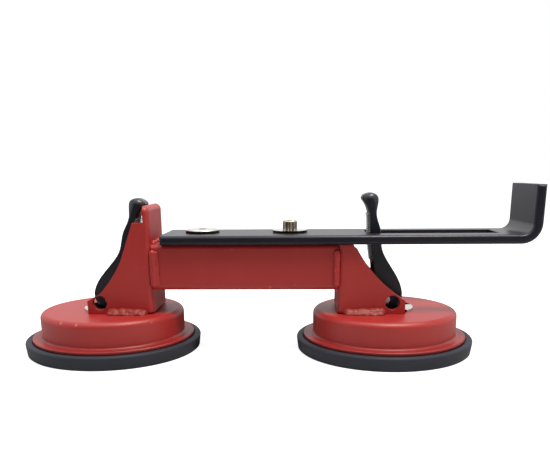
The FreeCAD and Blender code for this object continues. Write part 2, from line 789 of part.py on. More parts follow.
def make_tube_welds(label, cup_x, outward, bracket, with_top):
    """Upright beads where the crossbar's sides meet the web, and on the left one across its top."""
    face = cup_x - dim("web_offset") * outward
    radius = dim("side_weld_radius")
    low = TUBE_BOTTOM + dim("side_weld_margin") + radius
    high = TUBE_TOP - dim("side_weld_margin") - radius
    beads = []
    for side in (-1, 1):
        name = f"{label}_{'near' if side < 0 else 'far'}"
        place_x = face - radius / 2 * outward
        place_y = dim("tube_width") / 2 * side
        facing = turned((0, 0, 1), 0 if side > 0 else 180)
        beads.append(primitive("Cylinder", f"{name}_run", (place_x, place_y, low), facing,
                               Radius=radius, Height=high - low, Angle=180))
        for place_z in (low, high):
            beads.append(primitive("Sphere", f"{name}_end", (place_x, place_y, place_z), facing,
                                   Radius=radius, Angle1=-90, Angle2=90, Angle3=180))
    fitted = doc.addObject("Part::Cut", f"{label}_fitted")
    fitted.Base = joined(f"{label}_beads", beads)
    fitted.Tool = bracket
    if with_top:
        radius = dim("top_weld_radius")
        half = dim("top_weld_length") / 2
        top = [primitive("Cylinder", f"{label}_top_run", (face, half, TUBE_TOP), turned((1, 0, 0), 90),
                         Radius=radius, Height=dim("top_weld_length"), Angle=90)]
        for end in (-half, half):
            top.append(primitive("Sphere", f"{label}_top_end", (face, end, TUBE_TOP),
                                 turned((0, 0, 1), -90), Radius=radius, Angle1=0, Angle2=90, Angle3=180))
        fitted = joined(f"{label}_all", [fitted] + top)
    add_sub_part(fitted, label)


for cup_label, cup_x in (("left", LEFT_CUP), ("right", RIGHT_CUP)):
    make_pad(f"suction_pad_{cup_label}", cup_x)
    make_shell(f"cup_shell_{cup_label}", cup_x)
    make_wear_washer(f"wear_washer_{cup_label}", cup_x)
    make_backing_plate(f"backing_plate_{cup_label}", cup_x)
    make_lift_stud(f"lift_stud_{cup_label}", cup_x)
    make_pivot_pin(f"pivot_pin_{cup_label}", cup_x)
make_cam_lever("cam_lever_left", LEFT_CUP, 180, -dim("left_lean").value)
make_cam_lever("cam_lever_right", RIGHT_CUP, 0, 0)
make_left_bracket()
make_right_bracket()
make_crossbar()
make_pull_bar()
make_fasteners()
for cup_label, cup_x, outward in (("left", LEFT_CUP, -1), ("right", RIGHT_CUP, 1)):
    bracket = next(item for item in sub_parts if item.Label == f"bracket_{cup_label}")
    make_foot_welds(f"foot_welds_{cup_label}", cup_x, outward)
    make_tube_welds(f"tube_welds_{cup_label}", cup_x, outward, bracket, cup_label == "left")
doc.recompute()

faults = [item.Name for item in doc.Objects if "Invalid" in item.State or "Error" in item.State]
for item in sub_parts:
    if item.Shape.isNull() or not item.Shape.isValid():
        faults.append(item.Label)
if faults:
    raise RuntimeError(f"faulty objects: {faults}")
os.makedirs("parts", exist_ok=True)
for item in sub_parts:
    item.Shape.exportStep(os.path.join("parts", f"{item.Label}.step"))
    box = item.Shape.BoundBox
    print(f"{item.Label}: {len(item.Shape.Solids)} solids, {item.Shape.Volume:.0f} mm3, "
          f"x {box.XMin:.2f}..{box.XMax:.2f} y {box.YMin:.2f}..{box.YMax:.2f} z {box.ZMin:.2f}..{box.ZMax:.2f}")
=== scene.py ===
"""Floor tile suction lifter: two lever suction cups, a welded crossbar and a slotted pull bar.

Sizes are in metres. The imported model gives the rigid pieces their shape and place, and each gets
its finish here. The rubber pads, the weld beads, the levers with their ribs and the knurled cap
screw are built anew over the model's own. The floor, the light and the camera come last.
"""
import math
import random

import bmesh
import bpy
from mathutils import Matrix, Vector
from mathutils.bvhtree import BVHTree


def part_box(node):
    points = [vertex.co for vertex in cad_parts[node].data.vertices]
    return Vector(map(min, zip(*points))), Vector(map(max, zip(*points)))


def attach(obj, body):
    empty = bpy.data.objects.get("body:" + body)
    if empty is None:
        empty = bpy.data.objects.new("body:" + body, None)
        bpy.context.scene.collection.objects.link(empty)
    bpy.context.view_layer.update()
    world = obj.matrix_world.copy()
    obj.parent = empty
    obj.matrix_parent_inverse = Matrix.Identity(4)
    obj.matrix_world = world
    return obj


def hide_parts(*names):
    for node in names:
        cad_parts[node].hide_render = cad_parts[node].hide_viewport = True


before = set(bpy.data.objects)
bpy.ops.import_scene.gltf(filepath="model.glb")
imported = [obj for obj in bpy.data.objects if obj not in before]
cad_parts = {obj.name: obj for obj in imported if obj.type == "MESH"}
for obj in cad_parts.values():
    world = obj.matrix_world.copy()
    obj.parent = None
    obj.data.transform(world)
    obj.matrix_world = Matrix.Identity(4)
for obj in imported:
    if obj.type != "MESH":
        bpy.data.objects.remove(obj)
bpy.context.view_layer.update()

OUTWARD = {"left": -1, "right": 1}        # each cup's side, and its way out along X


# ---- rubber pads ----
# Each pad is one disc of moulded natural rubber, with a rounded rim and a thin sealing lip below.
# The steel flange is pressed into its top, and the rubber shows as a band all round.
RUBBER_BLACK = "#252931"
RUBBER_BLOOM = "#313542"
BLOOM_PATCH = 0.014
RUBBER_GRAIN = 0.0009

RIM_ROUND = 0.0016
RIM_STEPS = 6
SIDE_DRAFT = 0.0009
LIP_WIDTH = 0.008
LIP_SLOPE = 0.006
DISH_DEPTH = 0.0025
LIP_EDGE = ((0.0, 0.0002), (0.0006, 0.0))        # out from the lip's inner edge, and up
FOOT_EDGE = ((-0.0008, 0.0), (0.0, 0.0007))      # out from the foot's widest ring, and up
FLANGE_SEAT = ((0.0009, 0.0001), (0.0003, 0.0004), (-0.0001, 0.0014))  # out from the flange, down
SEAT_RETURN = 0.0016
SEAT_FLOOR = 0.0006
TURN_STEPS = 192


def linear(code):
    """An sRGB hex colour as the linear colour that a socket takes."""
    shares = [int(code[i:i + 2], 16) / 255 for i in (1, 3, 5)]
    straight = [c / 12.92 if c <= 0.04045 else ((c + 0.055) / 1.055) ** 2.4 for c in shares]
    return (*straight, 1.0)


def add_node(tree, kind, inputs=(), **settings):
    """Adds a node with its settings. Each input is given a value, or the socket that feeds it."""
    node = tree.nodes.new(kind)
    for name, value in settings.items():
        setattr(node, name, value)
    for name, value in dict(inputs).items():
        if isinstance(value, bpy.types.NodeSocket):
            tree.links.new(value, node.inputs[name])
        else:
            node.inputs[name].default_value = value
    return node


def new_finish(name):
    """An empty material, its node tree and its object coordinates."""
    material = bpy.data.materials.new(name)
    material.use_nodes = True
    tree = material.node_tree
    tree.nodes.clear()
    place = add_node(tree, "ShaderNodeTexCoord").outputs["Object"]
    return material, tree, place


def moulded_rubber():
    """Moulded natural rubber: matt black, greyed in soft patches by bloom. Its grain is drawn at
    about 1 mm, coarse enough to show."""
    material, tree, place = new_finish("moulded_rubber")
    bloom = add_node(tree, "ShaderNodeTexNoise", {
        "Vector": place, "Scale": 1 / BLOOM_PATCH, "Detail": 4.0})
    colour = add_node(tree, "ShaderNodeMix", {
        0: bloom.outputs["Fac"], 6: linear(RUBBER_BLACK), 7: linear(RUBBER_BLOOM)},
        data_type="RGBA")
    grain = add_node(tree, "ShaderNodeTexNoise", {
        "Vector": place, "Scale": 1 / RUBBER_GRAIN, "Detail": 3.0})
    bump = add_node(tree, "ShaderNodeBump", {
        "Height": grain.outputs["Fac"], "Strength": 0.25, "Distance": 0.0002})
    rough = add_node(tree, "ShaderNodeMapRange", {
        "Value": bloom.outputs["Fac"], "To Min": 0.5, "To Max": 0.68})
    shader = add_node(tree, "ShaderNodeBsdfPrincipled", {
        "Base Color": colour.outputs[2], "Roughness": rough.outputs[0], "Normal": bump.outputs[0],
        "IOR": 1.52, "Specular IOR Level": 0.3})
    add_node(tree, "ShaderNodeOutputMaterial", {"Surface": shader.outputs[0]})
    return material


def add_piece(name, mesh, body, finish):
    """Links a finished mesh as a piece that rides on a body."""
    piece = bpy.data.objects.new(name, mesh)
    bpy.context.scene.collection.objects.link(piece)
    mesh.materials.append(finish)
    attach(piece, body)
    return piece


def to_mesh(name, shape, smooth=True):
    """Writes a bmesh to a mesh with its faces outwards."""
    bmesh.ops.remove_doubles(shape, verts=shape.verts, dist=1e-6)
    bmesh.ops.recalc_face_normals(shape, faces=shape.faces)
    mesh = bpy.data.meshes.new(name)
    shape.to_mesh(mesh)
    shape.free()
    if smooth:
        mesh.shade_smooth()
    return mesh


def spin_profile(points, centre):
    """Turns an outline of (radius, height) points about the upright line through centre."""
    shape = bmesh.new()
    corners = [shape.verts.new((centre.x + radius, centre.y, height)) for radius, height in points]
    edges = [shape.edges.new(pair) for pair in zip(corners, corners[1:])]
    bmesh.ops.spin(shape, geom=corners + edges, cent=(centre.x, centre.y, 0), axis=(0, 0, 1),
                   angle=math.tau, steps=TURN_STEPS, use_merge=True)
    return shape


rubber = moulded_rubber()
for side in OUTWARD:
    low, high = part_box(f"suction_pad_{side}")
    shell_low, shell_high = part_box(f"cup_shell_{side}")
    radius = (high.x - low.x) / 2
    flange = (shell_high.x - shell_low.x) / 2
    foot = radius - SIDE_DRAFT
    lip = foot - LIP_WIDTH
    top = high.z
    profile = [(0.0, DISH_DEPTH), (lip - LIP_SLOPE, DISH_DEPTH)]
    profile += [(lip + out, up) for out, up in LIP_EDGE]
    profile += [(foot + out, up) for out, up in FOOT_EDGE]
    for step in range(RIM_STEPS + 1):
        angle = math.radians(90 * step / RIM_STEPS)
        profile.append((radius - RIM_ROUND + RIM_ROUND * math.cos(angle),
                        top - RIM_ROUND + RIM_ROUND * math.sin(angle)))
    profile += [(flange + out, top - down) for out, down in FLANGE_SEAT]
    profile += [(flange - SEAT_RETURN, top - SEAT_FLOOR), (0.0, top - SEAT_FLOOR)]
    shape = spin_profile(profile, (low + high) / 2)
    pad = add_piece(f"rubber_pad_{side}", to_mesh(f"rubber_pad_{side}", shape), "frame",
                    rubber)
    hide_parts(f"suction_pad_{side}")


# ---- cup shells ----
# Each shell is pressed from steel sheet and sprayed with satin red enamel. Painted shade darkens
# the root of its flange, and the left shell has two small chips on its brow.
ENAMEL_DEEP = "#a22321"
ENAMEL_BRIGHT = "#b12c29"
ENAMEL_CORNER_SHADE = "#6a1512"
ENAMEL_SCUFFED = "#d98a7c"
TONE_PATCH = 0.03
PEEL_SIZE = 0.0021
SCUFF_SPACING = 0.0055
CORNER_SHADE_LOW = 0.0115
CORNER_SHADE_HIGH = 0.0145
EDGE_ROUND = 0.0006
MARK_RAGGED = 0.0012
MARK_SOFT = 0.0005
CHIP = (0.0014, 0.4, "#e0988a")
LEFT_CUP_CHIPS = (((-0.1333, -0.0424, 0.0271), *CHIP), ((-0.1220, -0.0466, 0.0267), *CHIP))


def red_enamel(name, edge_round=EDGE_ROUND, marks=()):
    """Sprayed enamel over steel: satin, slightly uneven in tone, with orange peel of about 2 mm and
    a few pale scuffs. It runs softly over sharp edges, and painted shade darkens it low down, on
    the flange and just above it. Marks are ragged round places, each with its centre, reach,
    strength and colour."""
    material, tree, place = new_finish(name)
    cloud = add_node(tree, "ShaderNodeTexNoise", {
        "Vector": place, "Scale": 1 / TONE_PATCH, "Detail": 3.0})
    clean = add_node(tree, "ShaderNodeMix", {
        0: cloud.outputs["Fac"], 6: linear(ENAMEL_DEEP), 7: linear(ENAMEL_BRIGHT)},
        data_type="RGBA")
    height = add_node(tree, "ShaderNodeSeparateXYZ", {0: place})
    # Painted shade: darker on the flange and in the corner at its root, fading out up the wall.
    corner_shade = add_node(tree, "ShaderNodeMapRange", {
        "Value": height.outputs["Z"], "From Min": CORNER_SHADE_LOW, "From Max": CORNER_SHADE_HIGH, "To Min": 0.4,
        "To Max": 0.0})
    corner_shaded = add_node(tree, "ShaderNodeMix", {
        0: corner_shade.outputs[0], 6: clean.outputs[2], 7: linear(ENAMEL_CORNER_SHADE)}, data_type="RGBA")
    specks = add_node(tree, "ShaderNodeTexNoise", {
        "Vector": place, "Scale": 1 / SCUFF_SPACING, "Detail": 1.0})
    scuff = add_node(tree, "ShaderNodeMapRange", {
        "Value": specks.outputs["Fac"], "From Min": 0.79, "From Max": 0.81, "To Max": 0.35})
    worn = add_node(tree, "ShaderNodeMix", {
        0: scuff.outputs[0], 6: corner_shaded.outputs[2], 7: linear(ENAMEL_SCUFFED)}, data_type="RGBA")
    for centre, reach, strength, tone in marks:
        ragged = add_node(tree, "ShaderNodeTexNoise", {
            "Vector": place, "Scale": 1 / MARK_RAGGED, "Detail": 1.0})
        away = add_node(tree, "ShaderNodeVectorMath", {0: place, 1: centre}, operation="DISTANCE")
        edge = add_node(tree, "ShaderNodeMath", {
            0: ragged.outputs["Fac"], 1: MARK_RAGGED, 2: away.outputs["Value"]},
            operation="MULTIPLY_ADD")
        shown = add_node(tree, "ShaderNodeMapRange", {
            "Value": edge.outputs[0], "From Min": reach, "From Max": reach + MARK_SOFT,
            "To Min": strength, "To Max": 0.0})
        worn = add_node(tree, "ShaderNodeMix", {
            0: shown.outputs[0], 6: worn.outputs[2], 7: linear(tone)}, data_type="RGBA")
    peel = add_node(tree, "ShaderNodeTexNoise", {
        "Vector": place, "Scale": 1 / PEEL_SIZE, "Detail": 2.0})
    bump = add_node(tree, "ShaderNodeBump", {
        "Height": peel.outputs["Fac"], "Strength": 0.12, "Distance": 0.0002})
    if edge_round:
        soft = add_node(tree, "ShaderNodeBevel", {"Radius": edge_round}, samples=4)
        tree.links.new(soft.outputs[0], bump.inputs["Normal"])
    rough = add_node(tree, "ShaderNodeMapRange", {
        "Value": cloud.outputs["Fac"], "To Min": 0.40, "To Max": 0.48})
    shader = add_node(tree, "ShaderNodeBsdfPrincipled", {
        "Base Color": worn.outputs[2], "Roughness": rough.outputs[0], "Normal": bump.outputs[0],
        "IOR": 1.5, "Specular IOR Level": 0.62})
    add_node(tree, "ShaderNodeOutputMaterial", {"Surface": shader.outputs[0]})
    return material


def finish_node(node, finish):
    """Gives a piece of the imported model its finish."""
    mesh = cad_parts[node].data
    mesh.materials.clear()
    mesh.materials.append(finish)


enamel = red_enamel("red_enamel")
finish_node("cup_shell_left", red_enamel("chipped_enamel", marks=LEFT_CUP_CHIPS))
finish_node("cup_shell_right", enamel)


# ---- wear washers, studs, backing plates and pins ----
# The washer under each cam is rolled steel, darkened by painted shade under the cam and bright
# round its outer end, where the light reaches. The pin is bright steel too. The stud and its
# backing plate are zinc plated, and mostly hidden.
STEEL = "#d6d4d0"
SHADE_BLACK = "#15120f"
ZINC_DULL = "#a8a8a4"
ZINC_PALE = "#c4c3bd"
ROLLING_LINES = (60.0, 2500.0, 2500.0)
ZINC_PATCH = 0.004
SHADE_PATCH = 0.004
SHADE_RAGGED = 0.002
SHADE_SOFT = 0.001
LIT_RADIUS = 0.0105
LIT_TIP_Y = {"left": -0.010, "right": -0.006}


def bright_steel():
    """Rolled and polished steel: bright, with fine lines about 0.4 mm apart."""
    material, tree, place = new_finish("bright_steel")
    lines = add_node(tree, "ShaderNodeMapping", {"Vector": place, "Scale": ROLLING_LINES})
    brushed = add_node(tree, "ShaderNodeTexNoise", {
        "Vector": lines.outputs[0], "Scale": 1.0, "Detail": 2.0})
    rough = add_node(tree, "ShaderNodeMapRange", {
        "Value": brushed.outputs["Fac"], "To Min": 0.22, "To Max": 0.36})
    shader = add_node(tree, "ShaderNodeBsdfPrincipled", {
        "Base Color": linear(STEEL), "Metallic": 1.0, "Roughness": rough.outputs[0]})
    add_node(tree, "ShaderNodeOutputMaterial", {"Surface": shader.outputs[0]})
    return material


def shaded_steel(tip):
    """The same steel darkened by painted shade, and left bright round one tip, inside a ragged
    edge.
    """
    material, tree, place = new_finish("shaded_steel")
    centred = add_node(tree, "ShaderNodeMapping", {"Vector": place, "Location": tuple(-tip)})
    away = add_node(tree, "ShaderNodeVectorMath", {0: centred.outputs[0]}, operation="LENGTH")
    ragged = add_node(tree, "ShaderNodeTexNoise", {
        "Vector": place, "Scale": 1 / SHADE_PATCH, "Detail": 3.0})
    edge = add_node(tree, "ShaderNodeMath", {
        0: ragged.outputs["Fac"], 1: SHADE_RAGGED, 2: away.outputs["Value"]},
        operation="MULTIPLY_ADD")
    # Painted shade covers the washer beyond a ragged ring round the tip.
    in_shade = add_node(tree, "ShaderNodeMapRange", {
        "Value": edge.outputs[0], "From Min": LIT_RADIUS, "From Max": LIT_RADIUS + SHADE_SOFT})
    metal = add_node(tree, "ShaderNodeBsdfPrincipled", {
        "Base Color": linear(STEEL), "Metallic": 1.0, "Roughness": 0.28})
    # The painted shade: dark and matt, where the cheeks and the lever shade the washer.
    shade = add_node(tree, "ShaderNodeBsdfPrincipled", {
        "Base Color": linear(SHADE_BLACK), "Roughness": 0.9, "Specular IOR Level": 0.0})
    mixed = add_node(tree, "ShaderNodeMixShader", {
        0: in_shade.outputs[0], 1: metal.outputs[0], 2: shade.outputs[0]})
    add_node(tree, "ShaderNodeOutputMaterial", {"Surface": mixed.outputs[0]})
    return material


def zinc_plate():
    """Zinc plating: dull silver with a soft clouding."""
    material, tree, place = new_finish("zinc_plate")
    cloud = add_node(tree, "ShaderNodeTexNoise", {
        "Vector": place, "Scale": 1 / ZINC_PATCH, "Detail": 3.0})
    colour = add_node(tree, "ShaderNodeMix", {
        0: cloud.outputs["Fac"], 6: linear(ZINC_DULL), 7: linear(ZINC_PALE)}, data_type="RGBA")
    shader = add_node(tree, "ShaderNodeBsdfPrincipled", {
        "Base Color": colour.outputs[2], "Metallic": 1.0, "Roughness": 0.42})
    add_node(tree, "ShaderNodeOutputMaterial", {"Surface": shader.outputs[0]})
    return material


steel = bright_steel()
zinc = zinc_plate()
for side, outward in OUTWARD.items():
    low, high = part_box(f"wear_washer_{side}")
    tip = Vector((high.x if outward > 0 else low.x, LIT_TIP_Y[side], high.z))
    finish_node(f"wear_washer_{side}", shaded_steel(tip))
    finish_node(f"pivot_pin_{side}", steel)
    finish_node(f"lift_stud_{side}", zinc)
    finish_node(f"backing_plate_{side}", zinc)


# ---- brackets and crossbar ----
# The brackets are bent from 4 mm sheet and the crossbar is a cut length of rectangular tube. All
# are welded up before they are sprayed, so they share the cups' enamel. Painted shade blackens the
# cheeks' inner faces round each pin, and their outer faces lie beyond its reach.
SHADE_REACH = 0.0185
SHADE_STRENGTH = 0.95
finish_node("crossbar_tube", enamel)
for side in OUTWARD:
    low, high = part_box(f"pivot_pin_{side}")
    # Painted shade round each pin: near black on the cheeks' inner faces.
    shade = (tuple((low + high) / 2), SHADE_REACH, SHADE_STRENGTH, SHADE_BLACK)
    finish_node(f"bracket_{side}", red_enamel(f"shaded_enamel_{side}", marks=(shade,)))


# ---- weld beads ----
# The beads were laid by hand with a stick electrode and painted over. Each is a chain of uneven,
# overlapping drops. Those at the brackets' feet have a second row and a little spatter beside them,
# and the crossbar's left end has a second row and a bead over its top.
DRY_DEEP = "#8a2623"
DRY_PALE = "#9a3933"
DRY_PATCH = 0.0016
DRY_STRETCH = (0.35, 1.0, 1.0)

BEAD_VOXEL = 0.0004
WANDER_SHARE = 0.6
GROWTH_SHARE = 0.6
chance = random.Random(7)

FOOT_BEAD = 0.0031
FOOT_ROW = (FOOT_BEAD, 0.0009, 0.14)             # a row's radius, pitch and unevenness
FOOT_ENDS = ((0.0065, 0.0006, 0.0008),           # each end: out from the web, off the cheek, up
             (0.0285, 0.0010, 0.0012))
FOOT_SECOND_ROW = (FOOT_BEAD * 0.7, 0.0014, 0.22)
FOOT_SECOND_SHIFTS = ((0.0022, -0.0010),         # each end: off the cheek and up from the first row
                      (0.0026, -0.0010))
FOOT_SMOOTHINGS = 12
SPATTERS = 7
SPATTER_REACH = (0.004, 0.0085)
SPATTER_RADIUS = (0.0003, 0.0006)

TUBE_BEAD = 0.0023
TUBE_ROW = (TUBE_BEAD, 0.0013, 0.1)
TUBE_ROW_INSET = 0.0009
TUBE_ROW_PROUD = 0.0004
TUBE_ROW_FOOT = 0.0040
TUBE_ROW_HEAD = 0.0055
TUBE_SECOND_ROW = (TUBE_BEAD * 0.8, 0.0013, 0.1)
TUBE_SECOND_SHIFT = (0.0024, 0.0006)             # along the tube, and in towards it
TUBE_TOP_ROW = (TUBE_BEAD * 0.85, 0.0014, 0.2)
TUBE_TOP_REACH = 0.013
TUBE_TOP_PROUD = 0.0002
TUBE_SMOOTHINGS = 4


def drop(shape, place, radius):
    """One drop of weld metal."""
    bmesh.ops.create_icosphere(shape, subdivisions=2, radius=radius,
                               matrix=Matrix.Translation(place))


def lay_bead(shape, start, end, radius, pitch, unevenness):
    """Overlapping drops in a line from start to end, each a little off the line and the size."""
    count = max(2, round((end - start).length / pitch))
    for step in range(count + 1):
        wander = Vector([chance.uniform(-1, 1) for _ in range(3)])
        place = start.lerp(end, step / count) + wander * radius * unevenness * WANDER_SHARE
        drop(shape, place, radius * chance.uniform(1 - unevenness, 1 + unevenness * GROWTH_SHARE))


def melted(name, shape, voxel, smoothings):
    """Runs a shape's parts together into one skin, and softens it."""
    loose = bpy.data.objects.new(f"{name}_drops", to_mesh(f"{name}_drops", shape))
    bpy.context.scene.collection.objects.link(loose)
    skin = loose.modifiers.new("skin", "REMESH")
    skin.mode = "VOXEL"
    skin.voxel_size = voxel
    settle = loose.modifiers.new("settle", "SMOOTH")
    settle.iterations = smoothings
    bpy.context.view_layer.update()
    graph = bpy.context.evaluated_depsgraph_get()
    mesh = bpy.data.meshes.new_from_object(loose.evaluated_get(graph))
    bpy.data.objects.remove(loose)
    mesh.materials.clear()
    mesh.shade_smooth()
    mesh.name = name
    return mesh


def bead_enamel():
    """The same enamel where it lies thin and dry over rough weld metal: matter, and streaked along
    the bead."""
    material, tree, place = new_finish("bead_enamel")
    along = add_node(tree, "ShaderNodeMapping", {"Vector": place, "Scale": DRY_STRETCH})
    dry = add_node(tree, "ShaderNodeTexNoise", {
        "Vector": along.outputs[0], "Scale": 1 / DRY_PATCH, "Detail": 4.0})
    contrast = add_node(tree, "ShaderNodeMapRange", {
        "Value": dry.outputs["Fac"], "From Min": 0.38, "From Max": 0.62})
    colour = add_node(tree, "ShaderNodeMix", {
        0: contrast.outputs[0], 6: linear(DRY_DEEP), 7: linear(DRY_PALE)}, data_type="RGBA")
    bump = add_node(tree, "ShaderNodeBump", {
        "Height": dry.outputs["Fac"], "Strength": 0.4, "Distance": 0.0004})
    shader = add_node(tree, "ShaderNodeBsdfPrincipled", {
        "Base Color": colour.outputs[2], "Roughness": 0.46, "Normal": bump.outputs[0], "IOR": 1.5,
        "Specular IOR Level": 0.35})
    add_node(tree, "ShaderNodeOutputMaterial", {"Surface": shader.outputs[0]})
    return material


dry_enamel = bead_enamel()
tube_bead_enamel = red_enamel("bead_skin_enamel", edge_round=0)
tube_low, tube_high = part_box("crossbar_tube")
for side, outward in OUTWARD.items():
    low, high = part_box(f"bracket_{side}")
    web = low.x if outward > 0 else high.x

    shape = bmesh.new()
    for facing in (-1, 1):
        face = high.y * facing
        start, end = (Vector((web + outward * out, face + facing * off, low.z + up))
                      for out, off, up in FOOT_ENDS)
        lay_bead(shape, start, end, *FOOT_ROW)
        start_shift, end_shift = (Vector((0, facing * off, up)) for off, up in FOOT_SECOND_SHIFTS)
        lay_bead(shape, start + start_shift, end + end_shift, *FOOT_SECOND_ROW)
        for _ in range(SPATTERS):
            place = Vector((chance.uniform(start.x, end.x),
                            face + facing * chance.uniform(*SPATTER_REACH), low.z))
            drop(shape, place, chance.uniform(*SPATTER_RADIUS))
    skin = melted(f"foot_beads_{side}", shape, BEAD_VOXEL, FOOT_SMOOTHINGS)
    bead = add_piece(f"foot_beads_{side}", skin, "frame", dry_enamel)
    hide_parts(f"foot_welds_{side}")

    shape = bmesh.new()
    for facing in (-1, 1):
        corner = tube_high.y * facing + facing * TUBE_ROW_PROUD
        start = Vector((web - outward * TUBE_ROW_INSET, corner, tube_low.z + TUBE_ROW_FOOT))
        end = Vector((web - outward * TUBE_ROW_INSET, corner, tube_high.z - TUBE_ROW_HEAD))
        lay_bead(shape, start, end, *TUBE_ROW)
        if side == "left":
            along, inward = TUBE_SECOND_SHIFT
            beside = Vector((along, -facing * inward, 0))
            lay_bead(shape, start + beside, end + beside, *TUBE_SECOND_ROW)
    if side == "left":
        start, end = (Vector((web, across, tube_high.z + TUBE_TOP_PROUD))
                      for across in (-TUBE_TOP_REACH, TUBE_TOP_REACH))
        lay_bead(shape, start, end, *TUBE_TOP_ROW)
    skin = melted(f"tube_beads_{side}", shape, BEAD_VOXEL, TUBE_SMOOTHINGS)
    bead = add_piece(f"tube_beads_{side}", skin, "frame", tube_bead_enamel)
    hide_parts(f"tube_welds_{side}")


# ---- cam levers ----
# Each lever is moulded in glass-filled nylon, with soft edges, a domed head and a fork at the hub
# for the stud. It turns on the pin. Fine ribs across its inner side give the hand a grip.
NYLON_BLACK = "#171922"
NYLON_SHEEN = "#20222f"
RIB_HIGHLIGHT_DARK = "#3f4046"
RIB_HIGHLIGHT_PALE = "#6d6e74"
NYLON_PATCH = 0.012
NYLON_GRAIN = 0.0008
RIB_HIGHLIGHT_PATCH = 0.005

LEVER_VOXEL = 0.0005
LEVER_SMOOTHINGS = 20
HEAD_SMOOTHINGS = 40
HEAD_HEIGHT = 0.013
KNOB_RADIUS = 0.0048
KNOB_DOME = 0.24
RIBS_START = 0.032
RIB_PITCH = 0.00125
RIB_DEPTH = 0.0016
RIB_THICKNESS = 0.0006
RIB_PROUD = 0.0009
RIB_ROUND = 0.0002
CLEAR_OF_LEVER = 0.05


def filled_nylon():
    """Glass-filled nylon, moulded: black with a soft sheen. Its grain is drawn at 0.8 mm, coarse
    enough to show."""
    material, tree, place = new_finish("filled_nylon")
    cloud = add_node(tree, "ShaderNodeTexNoise", {
        "Vector": place, "Scale": 1 / NYLON_PATCH, "Detail": 3.0})
    colour = add_node(tree, "ShaderNodeMix", {
        0: cloud.outputs["Fac"], 6: linear(NYLON_BLACK), 7: linear(NYLON_SHEEN)}, data_type="RGBA")
    grain = add_node(tree, "ShaderNodeTexNoise", {
        "Vector": place, "Scale": 1 / NYLON_GRAIN, "Detail": 3.0})
    bump = add_node(tree, "ShaderNodeBump", {
        "Height": grain.outputs["Fac"], "Strength": 0.1, "Distance": 0.0002})
    shader = add_node(tree, "ShaderNodeBsdfPrincipled", {
        "Base Color": colour.outputs[2], "Roughness": 0.33, "Normal": bump.outputs[0], "IOR": 1.53})
    add_node(tree, "ShaderNodeOutputMaterial", {"Surface": shader.outputs[0]})
    return material


def highlit_nylon():
    """The same nylon on the ribs, painted a paler grey: a painted highlight for the glints along
    their crests.
    """
    material, tree, place = new_finish("highlit_nylon")
    highlight_patches = add_node(tree, "ShaderNodeTexNoise", {
        "Vector": place, "Scale": 1 / RIB_HIGHLIGHT_PATCH, "Detail": 2.0})
    colour = add_node(tree, "ShaderNodeMix", {
        0: highlight_patches.outputs["Fac"], 6: linear(RIB_HIGHLIGHT_DARK), 7: linear(RIB_HIGHLIGHT_PALE)}, data_type="RGBA")
    shader = add_node(tree, "ShaderNodeBsdfPrincipled", {
        "Base Color": colour.outputs[2], "Roughness": 0.28, "IOR": 1.53})
    add_node(tree, "ShaderNodeOutputMaterial", {"Surface": shader.outputs[0]})
    return material


nylon = filled_nylon()
# The ribs are painted paler grey: a painted highlight along their crests.
rib_highlight = highlit_nylon()
for side, outward in OUTWARD.items():
    node = f"cam_lever_{side}"
    low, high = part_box(node)
    shape = bmesh.new()
    shape.from_mesh(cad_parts[node].data)
    mesh = melted(f"lever_{side}", shape, LEVER_VOXEL, LEVER_SMOOTHINGS)
    shape = bmesh.new()
    shape.from_mesh(mesh)
    for _ in range(HEAD_SMOOTHINGS):
        head = [vert for vert in shape.verts if vert.co.z > high.z - HEAD_HEIGHT]
        bmesh.ops.smooth_vert(shape, verts=head, factor=0.5, use_axis_x=True, use_axis_y=True,
                              use_axis_z=True)
    # The knob's sides draw in towards its top and its outer edges, so that it is domed all round.
    crown = [vert.co.x for vert in shape.verts if vert.co.z > high.z - KNOB_RADIUS]
    middle = Vector(((min(crown) + max(crown)) / 2, 0, high.z - KNOB_RADIUS))
    for vert in shape.verts:
        fade = min(1, max(0, 1 + (vert.co.z - middle.z) / (KNOB_RADIUS * 2)))
        away = Vector((vert.co.x - middle.x, 0, max(0, vert.co.z - middle.z))).length / KNOB_RADIUS
        vert.co.y *= 1 - KNOB_DOME * fade * fade * min(1, away) ** 2
    shape.to_mesh(mesh)
    surface = BVHTree.FromBMesh(shape)
    shape.free()
    lever = add_piece(f"lever_{side}", mesh, f"{side}_lever", nylon)
    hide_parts(node)

    # Each rib is square to the lever's inner side and as wide as the lever is at that height.
    ribs = bmesh.new()
    height = low.z + RIBS_START
    while height < high.z - HEAD_HEIGHT:
        core = Vector(((low.x + high.x) / 2, 0, height))
        hit, normal, _, _ = surface.ray_cast(core - Vector((outward * CLEAR_OF_LEVER, 0, 0)),
                                             Vector((outward, 0, 0)))
        root = hit - normal * RIB_DEPTH
        flank, _, _, _ = surface.ray_cast(root + Vector((0, CLEAR_OF_LEVER, 0)), Vector((0, -1, 0)))
        place = Matrix.Translation(hit + normal * (RIB_PROUD - RIB_DEPTH / 2))
        turn = normal.to_track_quat("X", "Z").to_matrix().to_4x4()
        size = Matrix.Diagonal((RIB_DEPTH, flank.y * 2, RIB_THICKNESS, 1))
        bmesh.ops.create_cube(ribs, size=1, matrix=place @ turn @ size)
        height += RIB_PITCH
    bmesh.ops.bevel(ribs, geom=ribs.edges[:], offset=RIB_ROUND, segments=3, profile=0.5,
                    affect="EDGES", material=-1)
    add_piece(f"lever_ribs_{side}", to_mesh(f"lever_ribs_{side}", ribs, smooth=False),
              f"{side}_lever", rib_highlight)


# ---- pull bar ----
# The bar is hot-rolled 50 by 6 mm flat, slotted, bent up at its end and painted satin black. Two
# screws clamp it to the crossbar, and a mallet strikes the upturned end.
PAINT_BLACK = "#151620"
PAINT_SHEEN = "#1f202c"
PAINT_PATCH = 0.02
PAINT_PEEL = 0.0016


